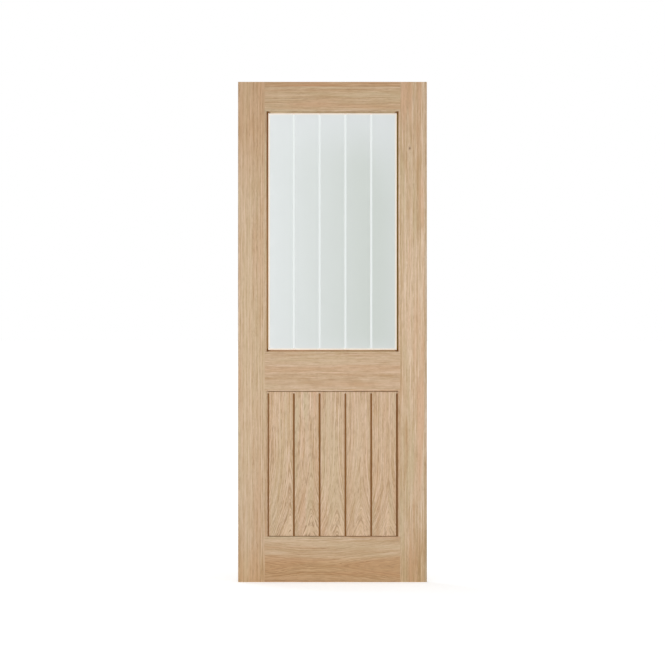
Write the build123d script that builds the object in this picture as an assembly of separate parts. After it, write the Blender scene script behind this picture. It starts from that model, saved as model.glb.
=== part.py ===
# Oak door leaf: a glass pane in beads above a panel of tongue-and-grooved boards.
# Millimetres. X runs from the hanging edge (x = 0) to the lock edge, -Y is the front,
# Z runs up from the leaf's bottom. The leaf's mid-plane is y = 0.
from build123d import *
import os

# Leaf
LEAF_WIDTH = 770
LEAF_HEIGHT = 2040
LEAF_THICKNESS = 35

# Frame members, as wide as they show on the face
STILE_FACE = 116
TOP_RAIL_FACE = 120
MIDDLE_RAIL_FACE = 159
BOTTOM_RAIL_FACE = 183
GLASS_SILL = 940

# Make-up of the frame members
FACING = 3
STILE_LIPPING = 10
TOP_LIPPING = 19
BOTTOM_LIPPING = 10
LINING_FACE = 7.5
ARRIS = 1
PANEL_SPLAY = 2.5

# Boarded panel
BOARDS = 5
BOARD_THICKNESS = 19
GROOVE_WIDTH = 7
GROOVE_DEPTH = 5
GROOVE_ARRIS = 1
GROOVE_STOP = 9
END_REVEAL = 1.5
END_SPLAY = 1.5
TONGUE_LENGTH = 6
TONGUE_END_GAP = 0.5
TONGUE_FIT = 0.1
BOARD_JOINT = 0.2

# Glazing
GLASS_THICKNESS = 6
GLASS_EDGE_GAP = 3
TAPE_THICKNESS = 1.5
TAPE_WIDTH = 6
TAPE_JOINT = 0.3
BEAD_WIDTH = 7
BEAD_RECESS = 3
BEAD_FLAT = 1.5
BEAD_NOSE = 3.5

# Places that follow from the sizes above
HALF = LEAF_THICKNESS / 2
SHOULDER = STILE_FACE - LINING_FACE
FAR_SHOULDER = LEAF_WIDTH - SHOULDER
GLASS_LEFT, GLASS_RIGHT = STILE_FACE, LEAF_WIDTH - STILE_FACE
GLASS_BOTTOM, GLASS_TOP = GLASS_SILL, LEAF_HEIGHT - TOP_RAIL_FACE
PANEL_LINING = LINING_FACE + PANEL_SPLAY
PANEL_LEFT, PANEL_RIGHT = SHOULDER + PANEL_LINING, FAR_SHOULDER - PANEL_LINING
PANEL_BOTTOM = BOTTOM_RAIL_FACE + PANEL_SPLAY
PANEL_TOP = GLASS_SILL - MIDDLE_RAIL_FACE - PANEL_SPLAY
TONGUE_THICKNESS = BOARD_THICKNESS - 2 * GROOVE_DEPTH
SLOT_WIDTH = TONGUE_THICKNESS + 2 * TONGUE_FIT
SLOT_DEPTH = TONGUE_LENGTH + TONGUE_END_GAP
BOARD_PITCH = (PANEL_RIGHT - PANEL_LEFT - GROOVE_WIDTH) / BOARDS
TAPE_FACE = GLASS_THICKNESS / 2 + TAPE_THICKNESS


def block(x0, x1, thickness, z0, z1):
    """Square-edged solid centred on the leaf's mid-plane."""
    solid = Box(x1 - x0, thickness, z1 - z0, align=(Align.MIN, Align.CENTER, Align.MIN))
    return solid.moved(Location((x0, 0, z0)))


def slab(x0, x1, y0, y1, z0, z1):
    """Square-edged solid between the depths y0 and y1."""
    return block(x0, x1, y1 - y0, z0, z1).moved(Location((0, (y0 + y1) / 2, 0)))


# Frame

def stile_lipping():
    """Full-height lipping of the hanging edge, with both long arrises eased."""
    section = Polygon(
        (0, ARRIS - HALF), (ARRIS, -HALF), (STILE_LIPPING, -HALF),
        (STILE_LIPPING, HALF), (ARRIS, HALF), (0, HALF - ARRIS), align=None)
    return extrude(section, LEAF_HEIGHT)


def cored_member(x0, x1, z0, z1):
    """Engineered core with an oak facing on the front and the back."""
    return {
        "core": block(x0, x1, LEAF_THICKNESS - 2 * FACING, z0, z1),
        "front_face": slab(x0, x1, -HALF, FACING - HALF, z0, z1),
        "back_face": slab(x0, x1, HALF - FACING, HALF, z0, z1),
    }


def stile():
    """Hanging stile, from the lipped edge to the rails' shoulders."""
    pieces = cored_member(STILE_LIPPING, SHOULDER, 0, LEAF_HEIGHT)
    return {**pieces, "lipping": stile_lipping()}


def rail(z0, z1):
    """Rail between the two stiles."""
    return cored_member(SHOULDER, FAR_SHOULDER, z0, z1)


def edge_lipping(z0, z1):
    """Solid lipping of the leaf's top or bottom edge, between the stiles."""
    return block(SHOULDER, FAR_SHOULDER, LEAF_THICKNESS, z0, z1)


# Linings of the two openings

def upright_rectangle(y, x0, x1, z0, z1):
    """Rectangle across the leaf at the depth y."""
    centre = ((x0 + x1) / 2, y, (z0 + z1) / 2)
    return Plane(centre, x_dir=(1, 0, 0), z_dir=(0, 1, 0)) * Rectangle(x1 - x0, z1 - z0)


def splay_cutter(x0, x1, z0, z1, size):
    """Two frustums that take the arrises off an opening, mitred at its corners."""
    spread = 2 * size
    cutters = []
    for side in (-1, 1):
        inner = upright_rectangle(side * (HALF - size), x0, x1, z0, z1)
        outer = upright_rectangle(
            side * (HALF + size), x0 - spread, x1 + spread, z0 - spread, z1 + spread)
        cutters.append(loft([inner, outer]))
    return cutters


def lining(x0, x1, z0, z1, thickness, splay):
    """Strips round an opening: level ones from stile to stile, uprights between them."""
    strips = {
        "left": block(x0 - thickness, x0, LEAF_THICKNESS, z0, z1),
        "right": block(x1, x1 + thickness, LEAF_THICKNESS, z0, z1),
        "top": block(x0 - thickness, x1 + thickness, LEAF_THICKNESS, z1, z1 + thickness),
        "bottom": block(x0 - thickness, x1 + thickness, LEAF_THICKNESS, z0 - thickness, z0),
    }
    cutters = splay_cutter(x0, x1, z0, z1, splay)
    return {side: strip - cutters for side, strip in strips.items()}


def glass_lining():
    """Plain lining of the glass opening."""
    return lining(GLASS_LEFT, GLASS_RIGHT, GLASS_BOTTOM, GLASS_TOP, LINING_FACE, ARRIS)


def panel_lining():
    """Lining of the panel opening, ploughed all round for the boards' tongues."""
    plough = block(
        PANEL_LEFT - SLOT_DEPTH, PANEL_RIGHT + SLOT_DEPTH, SLOT_WIDTH,
        PANEL_BOTTOM - SLOT_DEPTH, PANEL_TOP + SLOT_DEPTH)
    strips = lining(PANEL_LEFT, PANEL_RIGHT, PANEL_BOTTOM, PANEL_TOP, PANEL_LINING, PANEL_SPLAY)
    return {side: strip - plough for side, strip in strips.items()}


# Boarded panel

def board_plate(x0, x1):
    """Full thickness of a board, short of both rails and splayed at its ends."""
    z0, z1 = PANEL_BOTTOM + END_REVEAL, PANEL_TOP - END_REVEAL
    face = BOARD_THICKNESS / 2
    end = face - END_SPLAY
    section = Polygon(
        (-face, z0 + END_SPLAY), (-end, z0), (end, z0), (face, z0 + END_SPLAY),
        (face, z1 - END_SPLAY), (end, z1), (-end, z1), (-face, z1 - END_SPLAY), align=None)
    return extrude(Plane.YZ * section, x1 - x0).moved(Location((x0, 0, 0)))


def board_tongue(x0, x1):
    """Tongue layer of a board, which runs into the grooves of both rails' linings."""
    return block(
        x0, x1, TONGUE_THICKNESS, PANEL_BOTTOM - TONGUE_LENGTH, PANEL_TOP + TONGUE_LENGTH)


def stopped_grooves(x0):
    """Front and back grooves of one joint, round below the middle rail, their arrises eased."""
    radius = GROOVE_WIDTH / 2
    crown = PANEL_TOP - GROOVE_STOP - radius
    run = Pos(x0 + radius, (crown + PANEL_BOTTOM) / 2) * Rectangle(GROOVE_WIDTH, crown - PANEL_BOTTOM)
    outline = run + Pos(x0 + radius, crown) * Circle(radius)
    floor, arris = TONGUE_THICKNESS / 2, BOARD_THICKNESS / 2 - GROOVE_ARRIS
    front = extrude(Plane.XZ.offset(floor) * outline, arris - floor)
    front += extrude(Plane.XZ.offset(arris) * outline, 2 * GROOVE_ARRIS, taper=-45)
    return [front, mirror(front, about=Plane.XZ)]


def board(number):
    """One board: a tongue on its right edge, and on its left a slot for the board before it."""
    left = PANEL_LEFT + GROOVE_WIDTH + (number - 1) * BOARD_PITCH
    right = left + BOARD_PITCH
    cutters = stopped_grooves(left - GROOVE_WIDTH) + stopped_grooves(right - GROOVE_WIDTH)
    if number == 1:
        plate_left = PANEL_LEFT + BOARD_JOINT
        tongue_left = PANEL_LEFT - TONGUE_LENGTH
    else:
        plate_left = left
        tongue_left = left + SLOT_DEPTH
        cutters.append(block(left, tongue_left, SLOT_WIDTH, PANEL_BOTTOM, PANEL_TOP))
    plate = board_plate(plate_left, right - BOARD_JOINT)
    return plate + board_tongue(tongue_left, right + TONGUE_LENGTH) - cutters


# Glazing

def glass_pane():
    """Pane that stands clear of the lining on all four edges."""
    gap = GLASS_EDGE_GAP
    return block(
        GLASS_LEFT + gap, GLASS_RIGHT - gap, GLASS_THICKNESS, GLASS_BOTTOM + gap, GLASS_TOP - gap)


def glazing_tape(side):
    """Four butted strips of tape between the pane and the beads of one face."""
    y0, y1 = sorted((side * GLASS_THICKNESS / 2, side * TAPE_FACE))
    low, high = GLASS_BOTTOM + TAPE_WIDTH, GLASS_TOP - TAPE_WIDTH
    strips = [
        slab(GLASS_LEFT, GLASS_RIGHT, y0, y1, GLASS_BOTTOM, low),
        slab(GLASS_LEFT, GLASS_RIGHT, y0, y1, high, GLASS_TOP),
    ]
    for x0 in (GLASS_LEFT, GLASS_RIGHT - TAPE_WIDTH):
        strips.append(slab(x0, x0 + TAPE_WIDTH, y0, y1, low + TAPE_JOINT, high - TAPE_JOINT))
    return Compound(children=strips)


def bead(length, side):
    """Splayed bead with mitred ends, its length along Z and its back against x = 0."""
    crest = HALF - BEAD_RECESS
    section = Polygon(
        (0, side * TAPE_FACE), (BEAD_WIDTH, side * TAPE_FACE),
        (BEAD_WIDTH, side * (TAPE_FACE + BEAD_NOSE)), (BEAD_FLAT, side * crest),
        (0, side * crest), align=None)
    long_end, short_end = length / 2, length / 2 - BEAD_WIDTH
    plan = Polygon(
        (0, -long_end), (BEAD_WIDTH, -short_end), (BEAD_WIDTH, short_end), (0, long_end),
        align=None)
    return extrude(section, long_end, both=True) & extrude(Plane.XZ * plan, HALF, both=True)


def beads(side):
    """Four mitred beads round the pane on one face."""
    middle_x, middle_z = (GLASS_LEFT + GLASS_RIGHT) / 2, (GLASS_BOTTOM + GLASS_TOP) / 2
    upright = bead(GLASS_TOP - GLASS_BOTTOM, side)
    level = bead(GLASS_RIGHT - GLASS_LEFT, side)
    return {
        "left": upright.moved(Location((GLASS_LEFT, 0, middle_z))),
        "right": upright.moved(Location((GLASS_RIGHT, 0, middle_z), (0, 180, 0))),
        "top": level.moved(Location((middle_x, 0, GLASS_TOP), (0, 90, 0))),
        "bottom": level.moved(Location((middle_x, 0, GLASS_BOTTOM), (0, -90, 0))),
    }


# Leaf

def leaf():
    """Every piece of the leaf by its name."""
    pieces = {}

    def add(group, name="{}"):
        for key, solid in group.items():
            pieces[name.format(key)] = solid

    middle = Plane.YZ.offset(LEAF_WIDTH / 2)
    add(stile(), "hanging_stile_{}")
    add({key: mirror(solid, about=middle) for key, solid in stile().items()}, "lock_stile_{}")
    add(rail(GLASS_TOP + LINING_FACE, LEAF_HEIGHT - TOP_LIPPING), "top_rail_{}")
    add(rail(PANEL_TOP + PANEL_LINING, GLASS_BOTTOM - LINING_FACE), "middle_rail_{}")
    add(rail(BOTTOM_LIPPING, PANEL_BOTTOM - PANEL_LINING), "bottom_rail_{}")
    pieces["top_rail_lipping"] = edge_lipping(LEAF_HEIGHT - TOP_LIPPING, LEAF_HEIGHT)
    pieces["bottom_rail_lipping"] = edge_lipping(0, BOTTOM_LIPPING)
    add(glass_lining(), "glass_lining_{}")
    add(panel_lining(), "panel_lining_{}")
    add({number: board(number) for number in range(1, BOARDS + 1)}, "board_{}")
    pieces["glass_pane"] = glass_pane()
    for name, side in (("front", -1), ("back", 1)):
        pieces["glazing_tape_" + name] = glazing_tape(side)
        add(beads(side), name + "_bead_{}")
    return pieces


os.makedirs("parts", exist_ok=True)
for name, solid in leaf().items():
    export_step(solid, "parts/" + name + ".step")
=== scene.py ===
# An oak door leaf with a satin glass pane above a boarded panel, standing in a white studio.
import math
import bpy
import bmesh
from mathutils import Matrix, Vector


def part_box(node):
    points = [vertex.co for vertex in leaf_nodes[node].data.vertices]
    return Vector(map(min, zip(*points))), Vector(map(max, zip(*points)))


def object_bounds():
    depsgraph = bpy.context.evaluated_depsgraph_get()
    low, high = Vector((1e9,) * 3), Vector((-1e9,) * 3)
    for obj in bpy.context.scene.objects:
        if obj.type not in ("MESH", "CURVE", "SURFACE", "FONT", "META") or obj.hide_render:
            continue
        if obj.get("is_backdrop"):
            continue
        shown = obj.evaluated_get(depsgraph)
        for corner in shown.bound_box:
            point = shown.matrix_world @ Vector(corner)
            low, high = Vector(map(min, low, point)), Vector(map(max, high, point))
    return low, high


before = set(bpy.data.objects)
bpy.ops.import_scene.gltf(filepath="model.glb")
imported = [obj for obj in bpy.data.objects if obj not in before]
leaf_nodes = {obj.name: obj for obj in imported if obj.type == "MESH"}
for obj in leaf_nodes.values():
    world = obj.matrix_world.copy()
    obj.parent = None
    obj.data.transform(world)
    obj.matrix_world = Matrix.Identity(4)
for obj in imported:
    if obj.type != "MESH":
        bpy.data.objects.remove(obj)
cad_low, cad_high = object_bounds()

# Stiles
# Each stile is an engineered core between two sawn oak facings, straight-grained and lacquered matt.
# The facings run the leaf's full height, and the rails are dowelled and glued between the stiles.


def add(tree, kind, values=None, **settings):
    """Adds a shader node, and sets or links its inputs."""
    node = tree.nodes.new("ShaderNode" + kind)
    for name, setting in settings.items():
        setattr(node, name, setting)
    for key, value in (values or {}).items():
        if isinstance(value, bpy.types.NodeSocket):
            tree.links.new(value, node.inputs[key])
        else:
            node.inputs[key].default_value = value
    return node


def reckon(tree, operation, *terms):
    """Result of one sum on numbers or sockets."""
    return add(tree, "Math", dict(enumerate(terms)), operation=operation).outputs[0]


def reckon_vector(tree, operation, *terms):
    """Result of one sum on vectors or sockets."""
    return add(tree, "VectorMath", dict(enumerate(terms)), operation=operation).outputs[0]


def axes(tree, vector):
    """X, Y and Z of a vector."""
    return add(tree, "SeparateXYZ", {0: vector}).outputs


def blend(tree, amount, first, second, blend_type="MIX"):
    """Colour between two others."""
    values = {0: amount, 6: first, 7: second}
    return add(tree, "Mix", values, data_type="RGBA", blend_type=blend_type).outputs[2]


def ease(tree, value, start, end, low=0.0, high=1.0):
    """Smooth step from low at start to high at end."""
    values = {"Value": value, "From Min": start, "From Max": end, "To Min": low, "To Max": high}
    return add(tree, "MapRange", values, interpolation_type="SMOOTHSTEP").outputs["Result"]


def sway(tree, value, strength, middle=0.0):
    """Spreads a value that runs from 0 to 1 to both sides of a middle."""
    return reckon(tree, "MULTIPLY_ADD", reckon(tree, "SUBTRACT", value, 0.5), strength, middle)


def streaks(tree, vector, seed, pitch, detail=2.0):
    """Noise drawn out along the grain. pitch is its cycles per metre across and along."""
    across, along = pitch
    stretched = reckon_vector(tree, "MULTIPLY", vector, (across, across, along))
    values = {"Vector": stretched, "W": seed, "Scale": 1.0, "Detail": detail, "Roughness": 0.55}
    return add(tree, "TexNoise", values, noise_dimensions="4D").outputs["Fac"]


def new_group(name, inlets, outlets):
    """Shader node group with named sockets. Returns its tree, what it is given and what it puts out."""
    tree = bpy.data.node_groups.new(name, "ShaderNodeTree")
    for label, kind, value in inlets:
        socket = tree.interface.new_socket(label, in_out="INPUT", socket_type="NodeSocket" + kind)
        if value is not None:
            socket.default_value = value
    for label, kind in outlets:
        tree.interface.new_socket(label, in_out="OUTPUT", socket_type="NodeSocket" + kind)
    return tree, tree.nodes.new("NodeGroupInput").outputs, tree.nodes.new("NodeGroupOutput").inputs


# What sets a log's rings, in metres. Apexes far below and above the leaf leave the arches out.
RING_INLETS = [
    ("Vector", "Vector", None), ("Seed", "Float", 0.0), ("Ring Width", "Float", 0.004),
    ("Pith Depth", "Float", 0.08), ("Apex", "Float", -1.0), ("Far Apex", "Float", 9.0),
    ("Apex Run", "Float", 0.05), ("Taper", "Float", 0.35), ("Open Part", "Float", 0.42),
    ("Waviness", "Float", 1.0),
]
# Waves in the rings: cycles per metre across and along the grain, then metres of shift.
WANDER, WANDER_SHIFT, WANDER_LIFT = (7, 1.3), 0.03, 0.05
RIPPLE, RIPPLE_SHIFT = (45, 9), 0.007
JITTER, JITTER_SHIFT = (170, 30), 0.004
# Good and poor years: cycles per metre through the rings, and how many rings they shift.
YEARS, YEARS_SHIFT = 110.0, 3.0
ARM_SLOPE, OPEN_EDGE, SIDEWAYS_SHARE = 0.7, 0.24, 0.15


def growth_rings():
    """Growth rings cut by a face: straight lines, and nested arches where the log tapers.

    The arches lie below the height Apex and beyond Far Apex, and are faint at their crowns.
    Radius and Sideways give a point's place among the rings, so that streaks can bend with them.
    """
    tree, given, out = new_group("growth_rings", RING_INLETS, [
        ("Latewood", "Float"), ("Radius", "Float"), ("Sideways", "Float")])

    def wave(pitch):
        return sway(tree, streaks(tree, given["Vector"], given["Seed"], pitch), given["Waviness"])

    wander, ripple, jitter = wave(WANDER), wave(RIPPLE), wave(JITTER)
    place = axes(tree, given["Vector"])
    across = reckon(tree, "MULTIPLY_ADD", wander, WANDER_SHIFT, place["X"])
    across = reckon(tree, "MULTIPLY_ADD", ripple, RIPPLE_SHIFT, across)
    near = reckon(tree, "SUBTRACT", given["Apex"], place["Z"])
    far = reckon(tree, "SUBTRACT", place["Z"], given["Far Apex"])
    past = reckon(tree, "MULTIPLY_ADD", wander, WANDER_LIFT, reckon(tree, "MAXIMUM", near, far))
    past = reckon(tree, "SMOOTH_MAX", past, 0.0, given["Apex Run"])
    depth = reckon(tree, "ADD", given["Pith Depth"], place["Y"])
    squares = reckon(tree, "MULTIPLY_ADD", across, across, reckon(tree, "MULTIPLY", depth, depth))
    radius = reckon(tree, "SQRT", squares)
    slope = reckon(tree, "DIVIDE", reckon(tree, "ABSOLUTE", across), radius)
    arm = ease(tree, slope, 0.0, ARM_SLOPE)
    ring = reckon(tree, "SUBTRACT", radius, reckon(tree, "MULTIPLY", past, given["Taper"]))
    ring = reckon(tree, "MULTIPLY_ADD", jitter, JITTER_SHIFT, ring)
    year = reckon(tree, "MULTIPLY_ADD", ring, YEARS, given["Seed"])
    uneven = add(tree, "TexNoise", {"W": year, "Scale": 1.0}, noise_dimensions="1D").outputs["Fac"]
    count = reckon(tree, "DIVIDE", ring, given["Ring Width"])
    swing = reckon(tree, "PINGPONG", reckon(tree, "MULTIPLY_ADD", uneven, YEARS_SHIFT, count), 0.5)
    open_from = reckon(tree, "MULTIPLY", given["Open Part"], OPEN_EDGE)
    late = ease(tree, swing, open_from, given["Open Part"])
    tree.links.new(sway(tree, late, arm, 0.5), out["Latewood"])
    tree.links.new(ring, out["Radius"])
    tree.links.new(reckon(tree, "MULTIPLY_ADD", across, SIDEWAYS_SHARE, place["Y"]), out["Sideways"])
    return tree


# Streaks of the oak, in cycles per metre across and along the grain.
FINE, STRAND, BROAD, HUE = (340, 9), (215, 7), (34, 1.4), (30, 2.0)
BREAK, DASH, VESSEL, PORE = (230, 24), (200, 32), (620, 30), (1700, 70)
# What is added to a piece's seed, so that these streaks don't follow the others.
HUE_LATER, BREAK_LATER, DASH_LATER = 7.3, 2.2, 4.1
# Between which values of their noise the breaks and the dark marks set in.
BREAK_EDGE, DASH_EDGE, VESSEL_EDGE, PORE_EDGE = (0.36, 0.64), (0.50, 0.62), (0.58, 0.70), (0.58, 0.72)
FAINT_RING, STRONG_RING = 0.2, 1.8
HUE_RUN, HUE_DEPTH = 0.16, 0.65
HEART_WANDER = 0.06
LATE_CLOSED, INNER_OPEN = -0.75, 0.6
VESSEL_DARK, PORE_DARK = 0.35, 0.4
LACQUER_ROUGHNESS, FINE_ROUGHNESS, PORE_ROUGHNESS = 0.44, 0.12, 0.2
FINE_HEIGHT, VESSEL_HEIGHT, PORE_HEIGHT = 0.35, -0.5, -1.0


def oak_grain(rings):
    """Lacquered oak: rings, strands and dashes along them, slow bands of rose and straw, open pores.

    Heart From and Heart To are measured across the grain, and Inner Radius among the rings.
    """
    tree, given, out = new_group("oak_grain", RING_INLETS + [
        ("Ring Strength", "Float", 0.35), ("Fine Strength", "Float", 1.3),
        ("Strand Strength", "Float", 1.6), ("Broad Strength", "Float", 0.8),
        ("Dash Strength", "Float", 0.25), ("Hue Strength", "Float", 1.0),
        ("Light", "Color", (0.672, 0.508, 0.362, 1)), ("Dark", "Color", (0.428, 0.27, 0.127, 1)),
        ("Rose", "Color", (0.585, 0.355, 0.21, 1)), ("Straw", "Color", (0.565, 0.45, 0.28, 1)),
        ("Pore", "Color", (0.27, 0.148, 0.065, 1)), ("Heart", "Color", (0.84, 0.71, 0.56, 1)),
        ("Heart From", "Float", 9.0), ("Heart To", "Float", 10.0), ("Heart Rings", "Float", 0.0),
        ("Inner", "Color", (0.61, 0.385, 0.25, 1)), ("Inner Strength", "Float", 0.6),
        ("Inner Radius", "Float", -1.0), ("Inner Run", "Float", 0.016),
    ], [("Color", "Color"), ("Roughness", "Float"), ("Height", "Float")])
    ring_values = {label: given[label] for label, kind, value in RING_INLETS}
    ring_node = add(tree, "Group", ring_values, node_tree=rings)
    late, radius, sideways = (ring_node.outputs[label] for label in ("Latewood", "Radius", "Sideways"))
    vector, seed = given["Vector"], given["Seed"]
    place = axes(tree, vector)
    flow = add(tree, "CombineXYZ", {"X": radius, "Y": sideways, "Z": place["Z"]}).outputs[0]

    # Tone: fine streaks, strands and broad bands, and the rings, which break up along their length.
    fine = streaks(tree, vector, seed, FINE, 3.0)
    strand = streaks(tree, flow, seed, STRAND, 3.0)
    broad = streaks(tree, vector, seed, BROAD)
    tone = sway(tree, fine, given["Fine Strength"], 0.5)
    tone = sway(tree, strand, given["Strand Strength"], tone)
    tone = sway(tree, broad, given["Broad Strength"], tone)
    broken = streaks(tree, vector, reckon(tree, "ADD", seed, BREAK_LATER), BREAK, 1.0)
    broken = ease(tree, broken, *BREAK_EDGE, FAINT_RING, STRONG_RING)
    figure = reckon(tree, "MULTIPLY", reckon(tree, "SUBTRACT", 0.5, late), given["Ring Strength"])
    figure = reckon(tree, "MULTIPLY", figure, broken)
    heart = sway(tree, broad, HEART_WANDER, place["X"])
    heart = ease(tree, heart, given["Heart From"], given["Heart To"])
    heart_rings = reckon(tree, "MULTIPLY", heart, given["Heart Rings"])
    figure = reckon(tree, "MULTIPLY_ADD", figure, heart_rings, figure)
    tone = add(tree, "Clamp", {0: reckon(tree, "ADD", tone, figure)}).outputs[0]

    # Colour: rose and straw bands, heartwood, and another tint in the innermost rings.
    hue = streaks(tree, vector, reckon(tree, "ADD", seed, HUE_LATER), HUE)
    colour = blend(tree, tone, given["Light"], given["Dark"])
    for run, tint in ((HUE_RUN, given["Rose"]), (-HUE_RUN, given["Straw"])):
        share = ease(tree, hue, 0.5, 0.5 + run, 0.0, HUE_DEPTH)
        share = reckon(tree, "MULTIPLY", share, given["Hue Strength"])
        colour = blend(tree, share, colour, tint)
    colour = blend(tree, heart, colour, given["Heart"], "MULTIPLY")
    inner_end = reckon(tree, "ADD", given["Inner Radius"], given["Inner Run"])
    inner = ease(tree, radius, inner_end, given["Inner Radius"])
    inner_share = reckon(tree, "MULTIPLY", inner, given["Inner Strength"])
    colour = blend(tree, inner_share, colour, given["Inner"])

    # Dark marks along the grain, most of them in the open wood of each ring.
    open_band = reckon(tree, "MULTIPLY_ADD", late, LATE_CLOSED, 1.0)
    dash_band = reckon(tree, "MULTIPLY_ADD", inner, INNER_OPEN, open_band)
    dashes = streaks(tree, flow, reckon(tree, "ADD", seed, DASH_LATER), DASH, 1.0)
    dashes = reckon(tree, "MULTIPLY", ease(tree, dashes, *DASH_EDGE), dash_band)
    vessels = ease(tree, streaks(tree, vector, seed, VESSEL, 1.0), *VESSEL_EDGE)
    vessels = reckon(tree, "MULTIPLY", vessels, open_band)
    pores = ease(tree, streaks(tree, vector, seed, PORE, 0.0), *PORE_EDGE)
    pores = reckon(tree, "MULTIPLY", pores, open_band)
    dark_marks = (dashes, given["Dash Strength"]), (vessels, VESSEL_DARK), (pores, PORE_DARK)
    for marks, strength in dark_marks:
        colour = blend(tree, reckon(tree, "MULTIPLY", marks, strength), colour, given["Pore"])

    roughness = reckon(tree, "MULTIPLY_ADD", fine, FINE_ROUGHNESS, LACQUER_ROUGHNESS)
    roughness = reckon(tree, "MULTIPLY_ADD", pores, PORE_ROUGHNESS, roughness)
    height = reckon(tree, "MULTIPLY", fine, FINE_HEIGHT)
    height = reckon(tree, "MULTIPLY_ADD", pores, PORE_HEIGHT, height)
    height = reckon(tree, "MULTIPLY_ADD", vessels, VESSEL_HEIGHT, height)
    tree.links.new(colour, out["Color"])
    tree.links.new(roughness, out["Roughness"])
    tree.links.new(height, out["Height"])
    return tree


def joint_edges():
    """Mask of a thin line along a piece's own edges, where lacquer and shadow lie in the joint."""
    tree, given, out = new_group("joint_edges", [
        ("Vector", "Vector", None), ("Low", "Vector", None), ("High", "Vector", None),
        ("Width", "Float", 0.0006)], [("Edge", "Float")])
    above = reckon_vector(tree, "SUBTRACT", given["Vector"], given["Low"])
    under = reckon_vector(tree, "SUBTRACT", given["High"], given["Vector"])
    inside = reckon_vector(tree, "MINIMUM", above, under)
    facing = reckon_vector(tree, "ABSOLUTE", add(tree, "NewGeometry").outputs["True Normal"])
    clear = axes(tree, reckon_vector(tree, "ADD", inside, facing))
    nearest = reckon(tree, "MINIMUM", clear["X"], reckon(tree, "MINIMUM", clear["Y"], clear["Z"]))
    tree.links.new(ease(tree, nearest, given["Width"], 0.0), out["Edge"])
    return tree


def begin_material(name):
    """Material with a Principled shader. Returns it, its tree, the shader and object coordinates."""
    material = bpy.data.materials.new(name)
    material.use_nodes = True
    tree = material.node_tree
    coordinates = add(tree, "TexCoord").outputs["Object"]
    return material, tree, tree.nodes["Principled BSDF"], coordinates


# This turn lays the pattern's Z along the leaf's width, and its X down the leaf's height.
LEVEL_TURN = (0, math.radians(-90), 0)


def along_grain(tree, coordinates, level, pith=0.0):
    """Coordinates with Z along the grain, and X counted from the log's centre line."""
    values = {"Vector": coordinates, "Location": (-pith, 0, 0)}
    if level:
        values.update({"Location": (pith, 0, 0), "Rotation": LEVEL_TURN})
    return add(tree, "Mapping", values).outputs[0]


oak_tree = oak_grain(growth_rings())
edge_tree = joint_edges()
JOINT_SHADE = (0.16, 0.09, 0.045, 1)
END_GRAIN = (0.30, 0.19, 0.10, 1)
END_GRAIN_SHARE = 0.55
OAK_RELIEF = 0.00025


def oak(node, pith, level=False, joint=0.4, warmth=(), **figure):
    """Oak for one piece. pith is where the log's centre line lies across the piece.

    Each item is a tint, with the heights from which and to which it deepens; on the stiles and their
    lippings it is partly painted shade at the leaf's ends.
    """
    material, tree, shader, coordinates = begin_material(node)
    values = {key.replace("_", " ").title(): value for key, value in figure.items()}
    values["Vector"] = along_grain(tree, coordinates, level, pith)
    grain = add(tree, "Group", values, node_tree=oak_tree)
    low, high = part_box(node)
    edge = add(tree, "Group", {"Vector": coordinates, "Low": low, "High": high}, node_tree=edge_tree)
    facing = axes(tree, add(tree, "NewGeometry").outputs["True Normal"])
    end_on = reckon(tree, "ABSOLUTE", facing["X" if level else "Z"])
    sawn_end = ease(tree, end_on, 0.8, 1.0, 0.0, END_GRAIN_SHARE)
    colour = blend(tree, sawn_end, grain.outputs["Color"], END_GRAIN)
    for start, end, tint in warmth:
        deep = ease(tree, axes(tree, coordinates)["Z"], start, end)
        colour = blend(tree, deep, colour, tint, "MULTIPLY")
    colour = blend(tree, reckon(tree, "MULTIPLY", edge.outputs["Edge"], joint), colour, JOINT_SHADE)
    tree.links.new(colour, shader.inputs["Base Color"])
    tree.links.new(grain.outputs["Roughness"], shader.inputs["Roughness"])
    relief = {"Height": grain.outputs["Height"], "Distance": OAK_RELIEF, "Strength": 0.6}
    tree.links.new(add(tree, "Bump", relief).outputs[0], shader.inputs["Normal"])
    return material, tree, shader, colour


def dress(node, material):
    """Gives a piece of the leaf its finish."""
    for place in leaf_nodes[node].material_slots:
        place.material = material


# The stiles are darker and browner at the foot, and the hanging one at the head too: partly a browner
# tone, partly painted shade where less light reaches the leaf's ends.
HANGING_SHADE_AND_TINT = ((1.55, 1.88, (0.96, 0.89, 0.82, 1)), (0.21, -0.01, (0.975, 0.905, 0.775, 1)))
LOCK_SHADE_AND_TINT = ((0.27, -0.02, (0.925, 0.875, 0.755, 1)),)
stile_grain = dict(
    joint=0.15, waviness=0.3, ring_width=0.0085, ring_strength=0.4, fine_strength=2.1,
    strand_strength=1.4, dash_strength=0.16)
stile_facings = {
    "hanging_stile_front_face": dict(
        pith=-0.06, seed=297.0, pith_depth=0.12, ring_strength=0.25, fine_strength=1.8,
        strand_strength=0.8, broad_strength=0.3, hue_strength=0.45,
        light=(0.69, 0.523, 0.374, 1), dark=(0.437, 0.277, 0.131, 1), warmth=HANGING_SHADE_AND_TINT),
    "hanging_stile_back_face": dict(pith=0.20, seed=2.0, pith_depth=0.12),
    "lock_stile_front_face": dict(
        pith=0.84, seed=336.0, pith_depth=0.12, broad_strength=2.0,
        light=(0.698, 0.535, 0.383, 1), dark=(0.445, 0.284, 0.135, 1), warmth=LOCK_SHADE_AND_TINT),
    "lock_stile_back_face": dict(pith=0.56, seed=4.0, pith_depth=0.13),
}
for node, figure in stile_facings.items():
    dress(node, oak(node, **{**stile_grain, **figure})[0])

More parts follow.
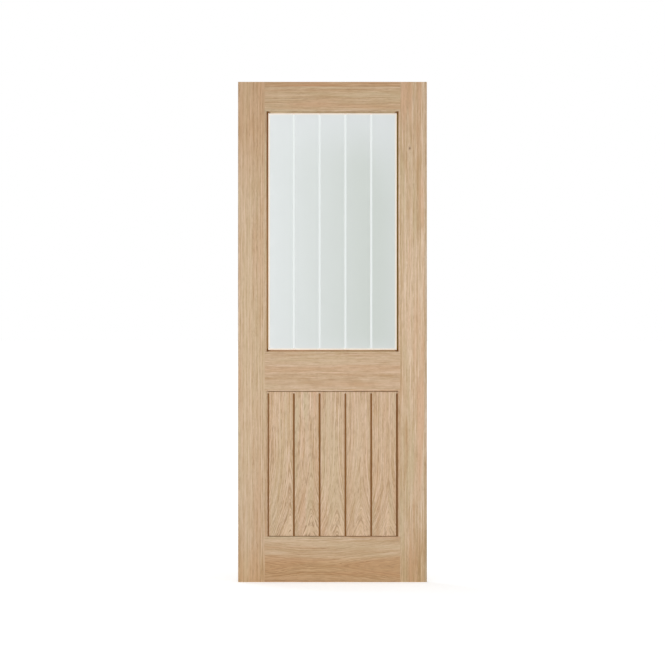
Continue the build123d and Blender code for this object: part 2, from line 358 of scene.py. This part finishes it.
# The lock stile's front facing has one pin knot near the top, and its grain parts round it.
KNOT_PLACE = (0.700, -cad_high.y, 1.769)
KNOT_SIZE = (0.0035, 0.02, 0.0055)
KNOT_PULL = (-0.85, 0, 0)
KNOT_RIM, KNOT_EYE = (0.36, 0.20, 0.10, 1), (0.15, 0.08, 0.04, 1)
tree = bpy.data.materials["lock_stile_front_face"].node_tree
shader = tree.nodes["Principled BSDF"]
offset = reckon_vector(tree, "SUBTRACT", tree.nodes["Texture Coordinate"].outputs["Object"], KNOT_PLACE)
scaled = reckon_vector(tree, "DIVIDE", offset, KNOT_SIZE)
knot_radii = add(tree, "VectorMath", {0: scaled}, operation="LENGTH").outputs["Value"]
nearby = ease(tree, knot_radii, 5.0, 0.6)
pull = reckon_vector(tree, "MULTIPLY", offset, KNOT_PULL)
pull = add(tree, "VectorMath", {0: pull, "Scale": nearby}, operation="SCALE").outputs[0]
bent = reckon_vector(tree, "ADD", tree.nodes["Mapping"].outputs[0], pull)
tree.links.new(bent, tree.nodes["Group"].inputs["Vector"])
colour = shader.inputs["Base Color"].links[0].from_socket
colour = blend(tree, ease(tree, knot_radii, 3.0, 1.1, 0.0, 0.3), colour, KNOT_RIM)
colour = blend(tree, ease(tree, knot_radii, 1.25, 0.6, 0.0, 0.75), colour, KNOT_EYE)
tree.links.new(colour, shader.inputs["Base Color"])

# Rails
# Top, middle and bottom rail are built as the stiles are, with their grain level.
# The bottom rail's facing holds browner heartwood along its foot, with two long flat arches in it.

rail_facings = {
    "top_rail_front_face": dict(
        pith=2.10, seed=48.0, pith_depth=0.09, hue_strength=0.8,
        light=(0.63, 0.464, 0.306, 1), dark=(0.405, 0.25, 0.11, 1)),
    "top_rail_back_face": dict(pith=1.90, seed=12.0, pith_depth=0.07),
    "middle_rail_front_face": dict(
        pith=0.80, seed=87.0, pith_depth=0.10, hue_strength=0.5, broad_strength=0.4,
        light=(0.655, 0.487, 0.345, 1), dark=(0.415, 0.26, 0.125, 1)),
    "middle_rail_back_face": dict(pith=0.90, seed=14.0, pith_depth=0.06),
    "bottom_rail_front_face": dict(
        pith=0.063, seed=200.0, pith_depth=0.014, apex=0.248, far_apex=0.388, apex_run=0.05, taper=0.15,
        ring_width=0.0085, ring_strength=0.2, open_part=0.26, hue_strength=0.5, fine_strength=1.0,
        strand_strength=1.2, broad_strength=1.3,
        light=(0.69, 0.526, 0.367, 1), dark=(0.429, 0.267, 0.123, 1),
        heart_from=-0.058, heart_to=-0.02, heart_rings=2.3, heart=(0.82, 0.7, 0.545, 1),
        inner=(0.49, 0.275, 0.13, 1), inner_strength=0.45, inner_radius=-0.002, inner_run=0.008),
    "bottom_rail_back_face": dict(pith=0.10, seed=16.0, pith_depth=0.05),
}
for node, figure in rail_facings.items():
    dress(node, oak(node, level=True, joint=0.15, dash_strength=0.18, **figure)[0])

# Lippings
# Solid oak strips close the leaf's four edges, so that hinges, latch and planing meet solid wood.
# They are glued on, flush with the facings, and their arrises are eased.

# The top and bottom lippings are heartwood throughout.
all_heart = dict(pith_depth=0.06, level=True, heart_from=-9.0, heart_to=-8.0)
edge_lippings = {
    "hanging_stile_lipping": dict(pith=-0.03, seed=21.0, pith_depth=0.08, warmth=HANGING_SHADE_AND_TINT),
    # The lock lipping darkens and browns towards its foot and its head: partly a browner tone, partly
    # painted shade at the leaf's ends.
    "lock_stile_lipping": dict(
        pith=0.79, seed=22.0, pith_depth=0.08, hue_strength=0.3,
        light=(0.672, 0.55, 0.43, 1), dark=(0.428, 0.292, 0.15, 1),
        warmth=((1.35, 1.85, (0.9, 0.82, 0.71, 1)), (0.9, 0.0, (0.8, 0.75, 0.6, 1)))),
    "top_rail_lipping": dict(pith=2.08, seed=23.0, heart=(0.88, 0.78, 0.66, 1), **all_heart),
    "bottom_rail_lipping": dict(pith=-0.04, seed=24.0, **all_heart),
}
for node, figure in edge_lippings.items():
    dress(node, oak(node, **figure)[0])

# Cores
# The core is softwood in narrow glued lamellas. It shows only at the stiles' sawn ends,
# where it is bare and unlacquered.

LAMELLA_WIDTH = 0.024
GLUE_PART = 0.03
RING_BEND, RING_STEP = 0.05, 0.00007
FIBRE = (300, 12)
RING_SHARE, LAMELLA_SHARE, FIBRE_SHARE = 0.45, 0.3, 0.3
EARLY_SOFTWOOD, LATE_SOFTWOOD = (0.78, 0.62, 0.40, 1), (0.55, 0.36, 0.18, 1)
GLUE_LINE = (0.30, 0.19, 0.10, 1)
PLANED_ROUGHNESS, FIBRE_ROUGHNESS = 0.68, 0.15


def core_wood(node, seed, level):
    """Softwood lamellas with their end grain and glue lines."""
    material, tree, shader, coordinates = begin_material(node)
    mapped = along_grain(tree, coordinates, level)
    place = axes(tree, mapped)
    cell = reckon(tree, "DIVIDE", place["X"], LAMELLA_WIDTH)
    lamella = reckon(tree, "ADD", reckon(tree, "FLOOR", cell), seed)
    hue = add(tree, "TexWhiteNoise", {"W": lamella}, noise_dimensions="1D").outputs[0]
    arc = reckon(tree, "MULTIPLY", place["X"], RING_BEND)
    arc = reckon(tree, "MULTIPLY_ADD", place["Y"], place["Y"], arc)
    rings = reckon(tree, "PINGPONG", reckon(tree, "DIVIDE", arc, RING_STEP), 1.0)
    fibre = streaks(tree, mapped, seed, FIBRE)
    tone = reckon(tree, "MULTIPLY", hue, LAMELLA_SHARE)
    tone = reckon(tree, "MULTIPLY_ADD", rings, RING_SHARE, tone)
    tone = reckon(tree, "MULTIPLY_ADD", fibre, FIBRE_SHARE, tone)
    glued = ease(tree, reckon(tree, "PINGPONG", cell, 0.5), GLUE_PART, 0.0)
    colour = blend(tree, glued, blend(tree, tone, EARLY_SOFTWOOD, LATE_SOFTWOOD), GLUE_LINE)
    tree.links.new(colour, shader.inputs["Base Color"])
    roughness = reckon(tree, "MULTIPLY_ADD", fibre, FIBRE_ROUGHNESS, PLANED_ROUGHNESS)
    tree.links.new(roughness, shader.inputs["Roughness"])
    bump = add(tree, "Bump", {"Height": fibre, "Distance": 0.0004, "Strength": 0.5})
    tree.links.new(bump.outputs[0], shader.inputs["Normal"])
    return material


for number, node in enumerate(sorted(name for name in leaf_nodes if name.endswith("_core"))):
    dress(node, core_wood(node, 31.0 + number, level="rail" in node))

# Linings
# Solid oak strips line both openings. Level strips run from stile to stile, uprights stand between.
# The panel's lining is splayed towards the boards and ploughed for their tongues.

LINING_PITH = 0.05
# The strip at the right of the glass is paler than the others.
PALE_STRIP = dict(light=(0.76, 0.59, 0.44, 1), dark=(0.484, 0.316, 0.156, 1))
for opening, first_seed in (("glass", 41.0), ("panel", 45.0)):
    for number, side in enumerate(("left", "right", "top", "bottom")):
        node = opening + "_lining_" + side
        low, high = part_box(node)
        level = side in ("top", "bottom")
        pith = (low.z if level else low.x) - LINING_PITH
        figure = dict(joint=0.3, seed=first_seed + number, pith_depth=0.08)
        if node == "glass_lining_right":
            figure.update(PALE_STRIP)
        dress(node, oak(node, pith, level, **figure)[0])

# Boards
# Five crown-cut oak boards, tongued and grooved together, fill the lower opening loose in the lining.
# Their leaves are slip-matched: straight above, with nested arches just over the bottom rail.

# Brown stain and painted shade in the grooves: the boards darken below their faces, standing in for the
# shade down in the grooves.
GROOVE_STAIN_AND_SHADE = (0.245, 0.094, 0.006, 1)
GROOVE_SHARE, STAIN_AND_SHADE_DEPTH = 0.95, 0.002
# The first groove's stain and painted shade stop a little way short of the lining.
TONGUE_HIDDEN, CLEAN_FROM, CLEAN_TO = 0.006, 0.001, 0.0035
PALE_SAPWOOD = (0.74, 0.54, 0.36, 1)
PALE_FROM, PALE_TO = 0.40, 0.80
ARCH_DEPTH, ARCH_TAPER, PALE_TOP = 0.012, 0.45, 0.232
board_grain = dict(
    joint=0.0, pith_depth=ARCH_DEPTH, taper=ARCH_TAPER, apex_run=0.30, ring_width=0.009,
    light=(0.705, 0.525, 0.375, 1), dark=(0.45, 0.283, 0.135, 1),
    inner=PALE_SAPWOOD, inner_strength=0.4, inner_run=0.014)
# Each board's arch (its centre line across the leaf and its apex height), seed, how strong its rings,
# its dashes and its changes of colour are, and how much paler it gets towards its head.
board_figures = (
    (0.2075, 0.37, 310.35, 0.4, 0.4, 0.6, 0.09), (0.3013, 0.36, 347.7, 0.4, 0.45, 1.1, 0.04),
    (0.4032, 0.34, 459.05, 0.4, 0.35, 0.7, -0.02), (0.5052, 0.35, 126.4, 0.25, 0.3, 0.35, 0.0),
    (0.6112, 0.33, 459.75, 0.35, 0.35, 0.6, 0.02))
panel_left, board_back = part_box("board_1")[0].x + TONGUE_HIDDEN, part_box("board_1")[1].y
for number, (middle, apex, seed, lines, dashes, hues, pale) in enumerate(board_figures, start=1):
    node = "board_" + str(number)
    head_tint = (1.0 + pale, 1.01 + 1.2 * pale, 1.04 + 1.6 * pale, 1)
    material, tree, shader, colour = oak(
        node, middle, warmth=((PALE_FROM, PALE_TO, head_tint),), seed=seed, apex=apex,
        ring_strength=lines, dash_strength=dashes, hue_strength=hues,
        inner_radius=ARCH_DEPTH - ARCH_TAPER * (apex - PALE_TOP), **board_grain)
    place = axes(tree, tree.nodes["Texture Coordinate"].outputs["Object"])
    from_middle = reckon(tree, "ABSOLUTE", place["Y"])
    # Painted shade and stain on all that lies deeper than a little below the boards' faces.
    groove_stain_and_shade = ease(tree, from_middle, board_back, board_back - STAIN_AND_SHADE_DEPTH, 0.0, GROOVE_SHARE)
    past_lining = ease(tree, place["X"], panel_left + CLEAN_FROM, panel_left + CLEAN_TO)
    colour = blend(tree, reckon(tree, "MULTIPLY", groove_stain_and_shade, past_lining), colour, GROOVE_STAIN_AND_SHADE)
    tree.links.new(colour, shader.inputs["Base Color"])
    dress(node, material)

# Glass
# One toughened pane, satin on the room side, with four clear upright lines over the grooves
# of the boards, and a narrow margin painted pale and warm as a painted highlight. It stands on hidden
# blocks, between tapes.

LINE_WIDTH, LINE_PITCH, LINE_BLUR = 0.008, 0.1054, 0.0006
# The middle lies half a pitch from a line, and the twenty pitches keep the count positive.
LINE_COUNT_FROM = 20.5
SIGHT_INSET, MARGIN = 0.004, 0.008
# The satin's colour runs between a lit and a shaded tone: painted light across the pane.
SATIN_LIT, SATIN_SHADED = (0.69, 0.72, 0.72, 1), (0.585, 0.625, 0.59, 1)
MOTTLE_TINT, MOTTLE_SHARE = (0.52, 0.55, 0.54, 1), 0.08
CLEAR_LINE, MARGIN_GLINT = (0.825, 0.857, 0.85, 1), (0.90, 0.79, 0.675, 1)
SATIN_ROUGHNESS, MOTTLE_ROUGHNESS, LINE_POLISH = 0.45, 0.10, 0.85
PAINTED_SHADE_FROM, PAINTED_SHADE_TO = 0.09, 0.53
leaf_middle = (cad_low.x + cad_high.x) / 2
pane_low, pane_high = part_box("glass_pane")
pane_half, pane_centre = (pane_high - pane_low) / 2, (pane_low + pane_high) / 2
material, tree, shader, coordinates = begin_material("glass_pane")
place = axes(tree, coordinates)
across = reckon(tree, "SUBTRACT", place["X"], leaf_middle)
shifted = reckon(tree, "ADD", across, LINE_PITCH * LINE_COUNT_FROM)
to_line = reckon(tree, "PINGPONG", shifted, LINE_PITCH / 2)
line = ease(tree, to_line, LINE_WIDTH / 2 + LINE_BLUR, LINE_WIDTH / 2 - LINE_BLUR)
side_gap = reckon(tree, "SUBTRACT", pane_half.x, reckon(tree, "ABSOLUTE", across))
height_off = reckon(tree, "ABSOLUTE", reckon(tree, "SUBTRACT", place["Z"], pane_centre.z))
end_gap = reckon(tree, "SUBTRACT", pane_half.z, height_off)
border = reckon(tree, "MINIMUM", side_gap, end_gap)
# Painted highlight: a narrow pale, warm band round the pane's sight edge.
margin_glint = ease(tree, border, SIGHT_INSET + MARGIN, SIGHT_INSET + MARGIN / 2)
# Painted light on the satin: it is painted darker from the left to right of the middle, and paler at
# the right edge, the head, the right corner and the foot, as light falls across the pane.
# Each says where it starts and ends, and how much of the painted shade stays there.
painted_shade_values = {"Value": place["X"], "From Min": PAINTED_SHADE_FROM, "From Max": PAINTED_SHADE_TO}
painted_shade = add(tree, "MapRange", painted_shade_values).outputs["Result"]
corner = ease(tree, place["Z"], pane_high.z - 0.45, pane_high.z - 0.05, 1.0, 0.4)
painted_light_places = (
    (place["X"], 0.57, pane_high.x, 0.65),
    (place["Z"], pane_high.z - 0.25, pane_high.z, 0.1),
    (place["X"], 0.50, 0.60, corner),
    (place["Z"], pane_low.z + 0.07, pane_low.z, 0.6))
for way, start, end, stays in painted_light_places:
    painted_shade = reckon(tree, "MULTIPLY", painted_shade, ease(tree, way, start, end, 1.0, stays))
mottle = add(tree, "TexNoise", {"Vector": coordinates, "Scale": 900.0, "Detail": 2.0}).outputs["Fac"]
satin = blend(tree, painted_shade, SATIN_LIT, SATIN_SHADED)
satin = blend(tree, reckon(tree, "MULTIPLY", mottle, MOTTLE_SHARE), satin, MOTTLE_TINT)
colour = blend(tree, margin_glint, blend(tree, line, satin, CLEAR_LINE), MARGIN_GLINT)
tree.links.new(colour, shader.inputs["Base Color"])
rough = reckon(tree, "MULTIPLY_ADD", mottle, MOTTLE_ROUGHNESS, SATIN_ROUGHNESS)
rough = reckon(tree, "MULTIPLY", rough, reckon(tree, "MULTIPLY_ADD", line, -LINE_POLISH, 1.0))
tree.links.new(rough, shader.inputs["Roughness"])
shader.inputs["Transmission Weight"].default_value = 1.0
shader.inputs["IOR"].default_value = 1.5
bump = add(tree, "Bump", {"Height": mottle, "Distance": 0.00005, "Strength": 0.3})
tree.links.new(bump.outputs[0], shader.inputs["Normal"])
dress("glass_pane", material)

# Beads
# Splayed oak beads, left matt, hold the pane on both faces. Their colour is painted shade, each side
# its own:
# the right ones darkest, then the left, then the foot, while the head is about as pale as the leaf.
# They are mitred at the corners, where stain has gathered and painted shade darkens the mitre. The left
# ones are browner near their tops.

BEAD_PITH = 0.04
BEAD_GLOSS = 0.15
# The mitres darken: gathered stain, with painted shade in the corner.
CORNER_DARK, CORNER_RUN, CORNER_SHARE = 0.005, 0.013, 0.85
CORNER_STAIN_AND_SHADE = (0.15, 0.052, 0.006, 1)
BROWN_HEAD = (0.70, 0.57, 0.48, 1)
BROWN_FROM, BROWN_TO = 0.60, 0.10
# Lit and shaded copies of one oak: each side's colour is painted for the shade on its splay.
bead_colours_shaded_by_side = {
    "left": dict(light=(0.39, 0.205, 0.085, 1), dark=(0.22, 0.105, 0.035, 1),
                 rose=(0.35, 0.15, 0.06, 1), straw=(0.34, 0.195, 0.07, 1)),
    "right": dict(light=(0.27, 0.155, 0.032, 1), dark=(0.15, 0.075, 0.013, 1),
                  rose=(0.24, 0.11, 0.025, 1), straw=(0.23, 0.14, 0.028, 1)),
    "top": dict(light=(0.66, 0.50, 0.32, 1), dark=(0.44, 0.305, 0.18, 1),
                rose=(0.62, 0.42, 0.26, 1), straw=(0.56, 0.44, 0.26, 1)),
    "bottom": dict(light=(0.52, 0.33, 0.17, 1), dark=(0.32, 0.185, 0.085, 1),
                   rose=(0.48, 0.265, 0.135, 1), straw=(0.44, 0.285, 0.135, 1)),
}
for number, node in enumerate(sorted(name for name in leaf_nodes if "_bead_" in name)):
    side = node.split("_")[-1]
    low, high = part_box(node)
    level = side in ("top", "bottom")
    pith = (low.z if level else low.x) - BEAD_PITH
    warmth = ((high.z - BROWN_FROM, high.z - BROWN_TO, BROWN_HEAD),) if side == "left" else ()
    material, tree, shader, colour = oak(
        node, pith, level, joint=0.5, warmth=warmth,
        seed=61.0 + number, pith_depth=0.05, **bead_colours_shaded_by_side[side])
    place = axes(tree, tree.nodes["Texture Coordinate"].outputs["Object"])
    over, along = (2, 0) if level else (0, 2)
    outer_edge = high[over] if side in ("right", "top") else low[over]
    inset = reckon(tree, "ABSOLUTE", reckon(tree, "SUBTRACT", place[over], outer_edge))
    off_middle = reckon(tree, "SUBTRACT", place[along], (low[along] + high[along]) / 2)
    off_middle = reckon(tree, "ABSOLUTE", off_middle)
    from_end = reckon(tree, "SUBTRACT", (high[along] - low[along]) / 2, off_middle)
    from_mitre = reckon(tree, "SUBTRACT", from_end, inset)
    # Painted corner shade and stain, deepening towards the mitre.
    mitre_stain_and_shade = ease(tree, from_mitre, CORNER_RUN, CORNER_DARK, 0.0, CORNER_SHARE)
    tree.links.new(blend(tree, mitre_stain_and_shade, colour, CORNER_STAIN_AND_SHADE), shader.inputs["Base Color"])
    shader.inputs["Specular IOR Level"].default_value = BEAD_GLOSS
    dress(node, material)

# Glazing tape
# Dark closed-cell foam tape seals the pane against the beads of each face.
# It is cut just short of the beads' sight edge.

CELLS_PER_METRE = 1800.0
CELL_DARK, CELL_PALE = (0.10, 0.08, 0.065, 1), (0.17, 0.14, 0.11, 1)
FOAM_ROUGHNESS, CELL_ROUGHNESS = 0.8, 0.1
for node in ("glazing_tape_front", "glazing_tape_back"):
    material, tree, shader, coordinates = begin_material(node)
    cell_values = {"Vector": coordinates, "Scale": CELLS_PER_METRE}
    cells = add(tree, "TexVoronoi", cell_values).outputs["Distance"]
    tree.links.new(blend(tree, cells, CELL_DARK, CELL_PALE), shader.inputs["Base Color"])
    roughness = reckon(tree, "MULTIPLY_ADD", cells, CELL_ROUGHNESS, FOAM_ROUGHNESS)
    tree.links.new(roughness, shader.inputs["Roughness"])
    bump = add(tree, "Bump", {"Height": cells, "Distance": 0.0003, "Strength": 0.5})
    tree.links.new(bump.outputs[0], shader.inputs["Normal"])
    dress(node, material)

# Studio
# A pale floor and a white surround, with large soft lights before, behind and above the leaf.
# The camera stands square to the leaf at mid-height.

WHITE = (1, 1, 1, 1)
SKY = 0.45
leaf_centre = Vector((leaf_middle, cad_low.y, (cad_low.z + cad_high.z) / 2))
world = bpy.data.worlds.new("studio")
bpy.context.scene.world = world
world.use_nodes = True
tree = world.node_tree
path = add(tree, "LightPath").outputs
seen = reckon(tree, "MAXIMUM", path["Is Camera Ray"], path["Is Glossy Ray"])
seen = reckon(tree, "MAXIMUM", seen, path["Is Transmission Ray"])
background = tree.nodes["Background"]
background.inputs["Color"].default_value = WHITE
tree.links.new(reckon(tree, "MULTIPLY_ADD", seen, 1 - SKY, SKY), background.inputs["Strength"])

lamps = []


def soft_light(name, place, size, power, glossy=True):
    """Square soft light aimed at the leaf's middle. It isn't seen through the glass."""
    light = bpy.data.lights.new(name, "AREA")
    light.size = size
    light.energy = power
    holder = bpy.data.objects.new(name, light)
    holder.location = leaf_centre + Vector(place)
    holder.rotation_euler = (-Vector(place)).to_track_quat("-Z", "Y").to_euler()
    holder.visible_glossy = glossy
    holder.visible_transmission = False
    bpy.context.collection.objects.link(holder)
    lamps.append((holder.location.copy(), -Vector(place).normalized(), size, power))


soft_light("front_key", (3.0, -4.6, 0.6), 1.6, 74.0)
soft_light("front_fill", (-0.35, -2.2, 0.05), 1.4, 17.0, glossy=False)
soft_light("back_key", (-2.6, 4.8, 0.6), 2.4, 140.0)
soft_light("overhead", (0.0, 0.0, 4.6), 2.4, 45.0)


def lamp_light(tree, spot, place, aim, size, power):
    """Light from one lamp on the level floor at a spot that nothing shades."""
    offset = reckon_vector(tree, "SUBTRACT", spot, place)
    ahead = add(tree, "VectorMath", {0: offset, 1: aim}, operation="DOT_PRODUCT").outputs["Value"]
    squared = add(tree, "VectorMath", {0: offset, 1: offset}, operation="DOT_PRODUCT").outputs["Value"]
    ahead = reckon(tree, "MAXIMUM", ahead, 0.0)
    ahead = reckon(tree, "MULTIPLY", ahead, power * place.z / math.pi ** 2)
    spread = reckon(tree, "ADD", squared, size ** 2 / math.pi)
    return reckon(tree, "DIVIDE", ahead, reckon(tree, "MULTIPLY", squared, spread))


def shown_as_white(tree, shader, strength):
    """Shader that glows by strength for the camera, and is white in gloss and through glass."""
    path = add(tree, "LightPath").outputs
    seen = reckon(tree, "MAXIMUM", path["Is Glossy Ray"], path["Is Transmission Ray"])
    white = add(tree, "Emission", {"Color": WHITE, "Strength": 1.0}).outputs[0]
    own_light = reckon(tree, "MULTIPLY", path["Is Camera Ray"], strength)
    glow = add(tree, "Emission", {"Color": WHITE, "Strength": own_light}).outputs[0]
    lit = add(tree, "AddShader", {0: shader, 1: glow}).outputs[0]
    return add(tree, "MixShader", {0: seen, 1: lit, 2: white}).outputs[0]


FLOOR_HALF = 400.0
FLOOR_PALE = 0.80
FULL_WHITE, LEAST_GLOW = 1.08, 0.35
bm = bmesh.new()
bmesh.ops.create_grid(bm, x_segments=1, y_segments=1, size=FLOOR_HALF)
floor_mesh = bpy.data.meshes.new("studio_floor")
bm.to_mesh(floor_mesh)
bm.free()
floor = bpy.data.objects.new("studio_floor", floor_mesh)
bpy.context.collection.objects.link(floor)
material, tree, shader, coordinates = begin_material("studio_floor")
shader.inputs["Base Color"].default_value = (FLOOR_PALE, FLOOR_PALE, FLOOR_PALE, 1)
shader.inputs["Roughness"].default_value = 0.9
shader.inputs["Specular IOR Level"].default_value = 0.0
received = SKY
for lamp in lamps:
    received = reckon(tree, "ADD", lamp_light(tree, coordinates, *lamp), received)
# The floor's own glow makes up what its light lacks of white, so that shadows on it stay.
glow = reckon(tree, "MULTIPLY_ADD", received, -FLOOR_PALE, FULL_WHITE)
glow = reckon(tree, "MAXIMUM", glow, LEAST_GLOW)
surface = shown_as_white(tree, shader.outputs[0], glow)
tree.links.new(surface, tree.nodes["Material Output"].inputs["Surface"])
floor_mesh.materials.append(material)
floor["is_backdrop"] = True

FRAME_PIXELS = 665
METRES_PER_PIXEL = 0.0040775
LENS, SENSOR = 200.0, 36.0
AIM_DROP = 0.002
camera_data = bpy.data.cameras.new("camera")
camera_data.lens = LENS
camera_data.sensor_width = SENSOR
camera = bpy.data.objects.new("camera", camera_data)
distance = FRAME_PIXELS * METRES_PER_PIXEL * LENS / SENSOR
camera.location = leaf_centre + Vector((0, -distance, -AIM_DROP))
camera.rotation_euler = (math.radians(90), 0, 0)
bpy.context.collection.objects.link(camera)
bpy.context.scene.camera = camera
bpy.context.scene.view_settings.view_transform = "Standard"

low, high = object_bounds()
